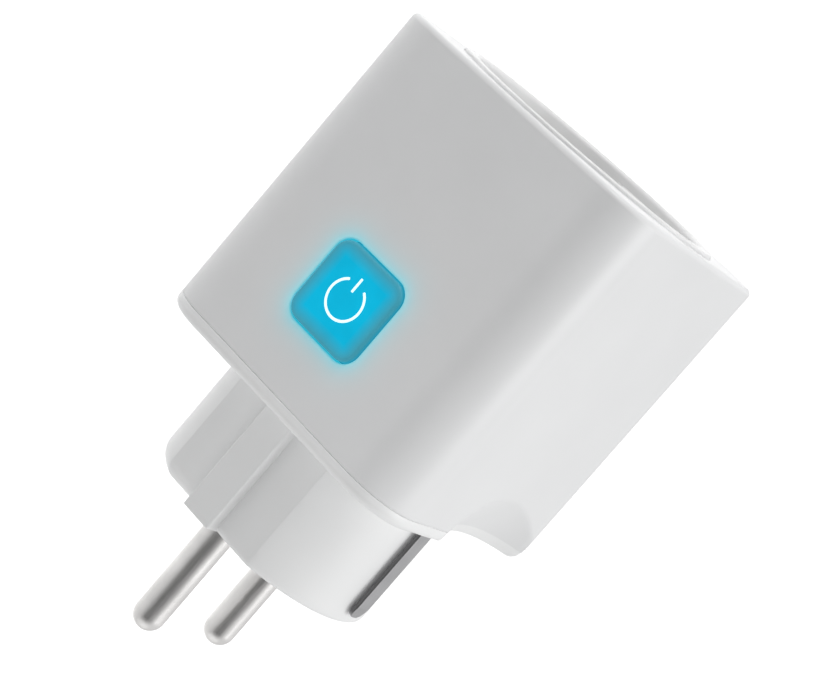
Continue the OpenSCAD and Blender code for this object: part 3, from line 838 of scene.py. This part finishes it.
class Look:
    """A procedural material, with short names for the nodes it is made of."""

    def __init__(self, name, roughness=0.4, metallic=0.0, coat=0.0, specular=0.5):
        self.material = bpy.data.materials.new(name)
        self.material.use_nodes = True
        self.tree = self.material.node_tree
        self.shader = self.tree.nodes["Principled BSDF"]
        self.shader.inputs["Roughness"].default_value = roughness
        self.shader.inputs["Metallic"].default_value = metallic
        self.shader.inputs["Coat Weight"].default_value = coat
        self.shader.inputs["Specular IOR Level"].default_value = specular
        self.place = self.node("ShaderNodeTexCoord").outputs["Object"]

    def node(self, kind, **settings):
        made = self.tree.nodes.new(kind)
        for key, value in settings.items():
            setattr(made, key, value)
        return made

    def link(self, source, target):
        self.tree.links.new(source, target)

    def math(self, operation, a, b=0.0, clamp=False):
        made = self.node("ShaderNodeMath", operation=operation, use_clamp=clamp)
        for socket, value in zip(made.inputs, (a, b)):
            if isinstance(value, (int, float)):
                socket.default_value = value
            else:
                self.link(value, socket)
        return made.outputs[0]

    def noise(self, scale, detail=3.0, rough=0.55, stretch=(1, 1, 1)):
        mapping = self.node("ShaderNodeMapping")
        mapping.inputs["Scale"].default_value = stretch
        self.link(self.place, mapping.inputs["Vector"])
        made = self.node("ShaderNodeTexNoise")
        made.inputs["Scale"].default_value = scale
        made.inputs["Detail"].default_value = detail
        made.inputs["Roughness"].default_value = rough
        self.link(mapping.outputs[0], made.inputs["Vector"])
        return made.outputs["Fac"]

    def spread(self, value, low, high, from_low=0.3, from_high=0.7):
        made = self.node("ShaderNodeMapRange")
        made.inputs["From Min"].default_value = from_low
        made.inputs["From Max"].default_value = from_high
        made.inputs["To Min"].default_value = low
        made.inputs["To Max"].default_value = high
        self.link(value, made.inputs["Value"])
        return made.outputs["Result"]

    def mix(self, share, a, b):
        made = self.node("ShaderNodeMix", data_type="RGBA")
        self.link(share, made.inputs["Factor"])
        for socket, value in ((made.inputs[6], a), (made.inputs[7], b)):
            if isinstance(value, tuple):
                socket.default_value = (*value[:3], 1)
            else:
                self.link(value, socket)
        return made.outputs[2]

    def colour(self, value):
        self.link(value, self.shader.inputs["Base Color"])

    def roughness(self, value):
        self.link(value, self.shader.inputs["Roughness"])

    def bump(self, height, distance, strength=0.3):
        made = self.node("ShaderNodeBump")
        made.inputs["Strength"].default_value = strength
        made.inputs["Distance"].default_value = distance
        self.link(height, made.inputs["Height"])
        self.link(made.outputs["Normal"], self.shader.inputs["Normal"])

    def axes(self):
        made = self.node("ShaderNodeSeparateXYZ")
        self.link(self.place, made.inputs[0])
        return made.outputs

    def beyond_button(self):
        """Distance in millimetres from the button's rim: above 0 outside it, below 0 on it."""
        _, y, z = self.axes()
        straight = CAP_HALF - CAP_CORNER
        from_middle = (z, self.math("ADD", y, CAP_W * MM))
        across, along = (
            self.math("SUBTRACT", self.math("ABSOLUTE", self.math("DIVIDE", v, MM)), straight)
            for v in from_middle
        )
        squares = [self.math("POWER", self.math("MAXIMUM", v, 0.0), 2.0) for v in (across, along)]
        outside = self.math("SQRT", self.math("ADD", *squares))
        inside = self.math("MINIMUM", self.math("MAXIMUM", across, along), 0.0)
        return self.math("SUBTRACT", self.math("ADD", outside, inside), CAP_CORNER)


def shade(colour, factor):
    return tuple(min(1.0, c * factor) for c in colour[:3])


def moulded(name, colour, roughness=0.36, grain=0.35):
    """Moulded plastic: a fine spark-eroded texture, with faint drifts of tone and gloss."""
    look = Look(name, roughness)
    drift = look.noise(60.0, 2.0)
    fine = look.noise(9000.0, 2.0, 0.6)
    look.colour(look.mix(look.spread(drift, 0, 1), shade(colour, 0.985), shade(colour, 1.015)))
    look.roughness(look.spread(fine, roughness - 0.04, roughness + 0.06))
    look.bump(fine, 0.00003, grain)
    return look


def plated(name, colour, roughness=0.25, stretch=(1, 1, 1), scale=2500.0, depth=0.25):
    """Plated or bare metal, with drawing marks along one way and a little uneven tarnish."""
    look = Look(name, roughness, metallic=1.0)
    marks = look.noise(scale, 3.0, 0.6, stretch)
    tarnish = look.noise(180.0, 3.0)
    look.colour(look.mix(look.spread(tarnish, 0, 1), shade(colour, 0.9), shade(colour, 1.05)))
    look.roughness(look.spread(marks, roughness - 0.05, roughness + 0.1))
    look.bump(marks, 0.00002, depth)
    return look


def sheet_steel(name, colour):
    """Stamped sheet: drawn marks along it, and painted shade on its cut edges, which face sideways."""
    look = plated(name, colour, 0.4, ALONG_PIN, MARKS)
    face = look.shader.inputs["Base Color"].links[0].from_socket
    facing = look.node("ShaderNodeSeparateXYZ")
    look.link(look.node("ShaderNodeTexCoord").outputs["Normal"], facing.inputs[0])
    # painted shade: faces turned sideways, the sheet's cut edges, get a much darker colour
    edge = look.spread(look.math("ABSOLUTE", facing.outputs[0]), 0, 1, 0.5, 0.9)
    look.colour(look.mix(edge, face, shade(colour, 0.35)))
    return look


def lit_housing(colour):
    """The housing's plastic, with the button's light spilling onto it and through it."""
    look = moulded("housing_plastic", colour)
    base = look.shader.inputs["Base Color"].links[0].from_socket
    away = look.math("MAXIMUM", look.beyond_button(), 0.0)
    near = look.math("EXPONENT", look.math("DIVIDE", away, -HALO_REACH))
    front = look.math("GREATER_THAN", look.axes()[0], (HALF - WALL - 0.1) * MM)
    glow = look.math("MULTIPLY", near, front)
    look.link(look.mix(glow, (0.0, 0.0, 0.0), HALO_COLOUR), look.shader.inputs["Emission Color"])
    look.shader.inputs["Emission Strength"].default_value = HALO_STRENGTH
    look.colour(look.mix(look.math("MULTIPLY", glow, HALO_TINT), base, HALO_SHADE))
    return look


def lit_button(name):
    """The lit cap: bright in the middle, and duller where its edges shade the lamp."""
    look = Look(name, 0.3, specular=0.1)
    inward = look.math("MULTIPLY", look.beyond_button(), -1.0)
    bright = look.spread(inward, 0, 1, 0.3, 2.3)
    cloud = look.spread(look.noise(220.0, 2.0), 0.94, 1.06)
    look.colour(look.mix(bright, CAP_EDGE, CAP_MIDDLE))
    lit = look.mix(bright, CAP_EDGE_GLOW, CAP_MIDDLE_GLOW)
    uneven = look.node("ShaderNodeVectorMath", operation="SCALE")
    look.link(lit, uneven.inputs[0])
    look.link(cloud, uneven.inputs["Scale"])
    look.link(uneven.outputs[0], look.shader.inputs["Emission Color"])
    look.shader.inputs["Emission Strength"].default_value = 1.0
    look.bump(look.noise(6000.0, 2.0), 0.00002, 0.2)
    return look


def board_look(name, colour):
    """Lacquered board: tracks show faintly under the lacquer."""
    look = Look(name, 0.35, coat=0.4)
    tracks = look.node("ShaderNodeTexBrick")
    tracks.inputs["Scale"].default_value = 260.0
    tracks.inputs["Mortar Size"].default_value = 0.012
    look.link(look.place, tracks.inputs["Vector"])
    look.colour(look.mix(tracks.outputs["Fac"], colour, shade(colour, 1.7)))
    look.bump(tracks.outputs["Fac"], 0.00003, 0.3)
    return look


def winding_look(name, colour):
    """Enamelled wire, wound side by side, with painted shade in the grooves between turns."""
    look = Look(name, 0.3, metallic=0.9)
    wave = look.node("ShaderNodeTexWave", bands_direction="Y")
    wave.inputs["Scale"].default_value = 1600.0
    look.link(look.place, wave.inputs["Vector"])
    # painted shade: darker where the wave is low, in the grooves between turns
    look.colour(look.mix(wave.outputs["Fac"], shade(colour, 0.5), colour))
    look.bump(wave.outputs["Fac"], 0.0001, 0.6)
    return look


def clear_look(name, colour):
    """Clear plastic with the status light in it."""
    look = Look(name, 0.2)
    look.shader.inputs["Transmission Weight"].default_value = 0.6
    cloud = look.noise(500.0, 2.0)
    look.colour(look.mix(look.spread(cloud, 0, 1), shade(colour, 0.92), colour))
    look.shader.inputs["Emission Color"].default_value = (*GUIDE_COLOUR, 1)
    look.shader.inputs["Emission Strength"].default_value = GUIDE_STRENGTH
    return look


def symbol_look(name, colour):
    """The white inlay, lit from behind."""
    look = Look(name, 0.35)
    fine = look.noise(7000.0, 2.0)
    look.colour(look.mix(look.spread(fine, 0, 1), shade(colour, 0.96), colour))
    look.shader.inputs["Emission Color"].default_value = (*SYMBOL_COLOUR, 1)
    look.shader.inputs["Emission Strength"].default_value = SYMBOL_STRENGTH
    return look


def speckled(name, colour, roughness=0.6):
    """Rough mouldings, cement coats and ceramic: a broken tone and a dull grain."""
    look = Look(name, roughness)
    grain = look.noise(1800.0, 4.0)
    look.colour(look.mix(look.spread(grain, 0, 1), shade(colour, 0.8), shade(colour, 1.2)))
    look.roughness(look.spread(grain, roughness - 0.1, roughness + 0.1))
    look.bump(grain, 0.00005, 0.4)
    return look


def make_looks():
    looks = {}
    for entry in frame["record"]["materials"]:
        name, kind, colour = entry["slot"], entry["class"], tuple(entry["base_color"][:3])
        if name == "housing_plastic":
            made = lit_housing(colour)
        elif name == "button_cyan":
            made = lit_button(name)
        elif name == "symbol_white":
            made = symbol_look(name, colour)
        elif name == "pin_nickel":
            made = plated(name, shade(colour, 1.25), 0.36, ALONG_PIN, MARKS, 0.08)
        elif name == "earth_steel":
            made = sheet_steel(name, colour)
        elif name == "coil_copper":
            made = winding_look(name, colour)
        elif name.endswith("laminate"):
            made = board_look(name, colour)
        elif kind == "glass":
            made = clear_look(name, colour)
        elif kind in ("brushed_steel", "chrome", "brass", "aluminium"):
            made = plated(name, colour, 0.3)
        elif name == "cover_plastic":
            made = moulded(name, shade(colour, 1.07))
        elif kind == "gloss_plastic":
            made = moulded(name, colour)
        elif name in ("shutter_plastic", "carrier_plastic"):
            made = moulded(name, colour, 0.42)
        else:
            made = speckled(name, colour)
        looks[name] = made.material
    return looks


def dress_cad_nodes(looks):
    """The pieces inside keep their CAD shapes and get their own materials.

    Their edges are softened, apart from those that lie too close together for it.
    """
    slots = {row["node"]: row["material_slot"] for row in frame["record"]["subparts"]}
    for name, obj in frame["nodes"].items():
        obj.data.materials.clear()
        obj.data.materials.append(looks[slots[name]])
        if obj.hide_render or name in CROWDED_NODES:
            continue
        weld = obj.modifiers.new("weld", "WELD")
        weld.merge_threshold = NODE_WELD * MM
        flat = obj.modifiers.new("merge_flats", "DECIMATE")
        flat.decimate_type = "DISSOLVE"
        flat.angle_limit = FLAT_ANGLE
        soft = obj.modifiers.new("soft_edges", "BEVEL")
        soft.width = NODE_EDGE_R * MM
        soft.segments = 2
        soft.limit_method = "ANGLE"
        soft.angle_limit = NODE_EDGE_ANGLE
        soft.harden_normals = True


# ---------- stage ----------


def light(name, place, target, size, power, mirrored=True):
    """A round soft lamp; mirrored tells whether glossy surfaces show it."""
    data = bpy.data.lights.new(name, "AREA")
    data.shape = "DISK"
    data.size = size
    data.energy = power
    obj = bpy.data.objects.new(name, data)
    bpy.context.scene.collection.objects.link(obj)
    obj.location = place
    obj.rotation_euler = (Vector(target) - Vector(place)).to_track_quat("-Z", "Y").to_euler()
    obj.visible_glossy = mirrored


def build_floor():
    mesh = bpy.data.meshes.new("floor")
    signs = ((-1, -1), (1, -1), (1, 1), (-1, 1))
    corners = [(x * FLOOR_HALF, y * FLOOR_HALF, FLOOR_Z) for x, y in signs]
    mesh.from_pydata(corners, [], [(0, 1, 2, 3)])
    obj = bpy.data.objects.new("floor", mesh)
    bpy.context.scene.collection.objects.link(obj)
    look = Look("floor_paint", 0.9, specular=0.1)
    tone = look.noise(3.0, 2.0)
    look.colour(look.mix(look.spread(tone, 0, 1), (0.93, 0.93, 0.93), (0.95, 0.95, 0.95)))
    look.shader.inputs["Emission Color"].default_value = (1, 1, 1, 1)
    away = look.node("ShaderNodeVectorMath", operation="DISTANCE")
    away.inputs[1].default_value = FLOOR_LAMP
    look.link(look.place, away.inputs[0])
    glow = look.spread(away.outputs["Value"], FLOOR_GLOW, FLOOR_DIM, *FLOOR_FADE)
    look.link(glow, look.shader.inputs["Emission Strength"])
    mesh.materials.append(look.material)


def build_camera():
    data = bpy.data.cameras.new("camera")
    data.sensor_width = 36.0
    data.lens = CAMERA_LENS
    data.clip_start = 0.01
    obj = bpy.data.objects.new("camera", data)
    bpy.context.scene.collection.objects.link(obj)
    forward = CAMERA_FORWARD.normalized()
    right = forward.cross(CAMERA_UP).normalized()
    up = right.cross(forward)
    turn = Matrix((right, up, -forward)).transposed()
    obj.matrix_world = Matrix.Translation(CAMERA_PLACE) @ turn.to_4x4()
    bpy.context.scene.camera = obj


def build_studio():
    """Pale walls all round, with one darker side that gives the bright metal its streaks."""
    world = bpy.data.worlds.new("studio")
    bpy.context.scene.world = world
    world.use_nodes = True
    tree = world.node_tree
    background = tree.nodes["Background"]
    background.inputs["Color"].default_value = (1, 1, 1, 1)
    place = tree.nodes.new("ShaderNodeTexCoord")
    facing = tree.nodes.new("ShaderNodeVectorMath")
    facing.operation = "DOT_PRODUCT"
    facing.inputs[1].default_value = UNLIT_SIDE
    tone = tree.nodes.new("ShaderNodeMapRange")
    tone.interpolation_type = "SMOOTHSTEP"
    tone.inputs["From Min"].default_value = 0.4
    tone.inputs["From Max"].default_value = 0.98
    tone.inputs["To Min"].default_value = STUDIO
    tone.inputs["To Max"].default_value = STUDIO * STUDIO_DARK
    tree.links.new(place.outputs["Generated"], facing.inputs[0])
    tree.links.new(facing.outputs["Value"], tone.inputs["Value"])
    tree.links.new(tone.outputs["Result"], background.inputs["Strength"])
    bpy.context.scene.view_settings.view_transform = "Standard"


def build_lights():
    light("key", (-0.28, -0.15, 0.86), (0, -0.04, 0), 0.5, 3.0)
    light("end", (0.1, 0.8, 0.1), (0, -0.02, 0), 0.9, 0.6)
    light("near", (0.16, 0.04, 0.13), (0, -0.02, 0), 0.12, 0.07, mirrored=False)
    light("top", (0.15, -0.8, 0.0), (0, -0.08, 0), 0.3, 2.0)


looks = make_looks()
build_housing(looks["housing_plastic"])
build_rear_cover(looks["cover_plastic"])
build_button(looks["button_cyan"])
build_symbol(looks["symbol_white"])
build_pin("live_pin_turned", "live_pin", 1, looks["pin_nickel"])
build_pin("neutral_pin_turned", "neutral_pin", -1, looks["pin_nickel"])
build_strap("earth_strap_right_bent", "earth_strap_right", 1, looks["earth_steel"])
build_strap("earth_strap_left_bent", "earth_strap_left", -1, looks["earth_steel"])
build_socket(looks["socket_plastic"])
dress_cad_nodes(looks)
build_floor()
build_camera()
build_studio()
build_lights()
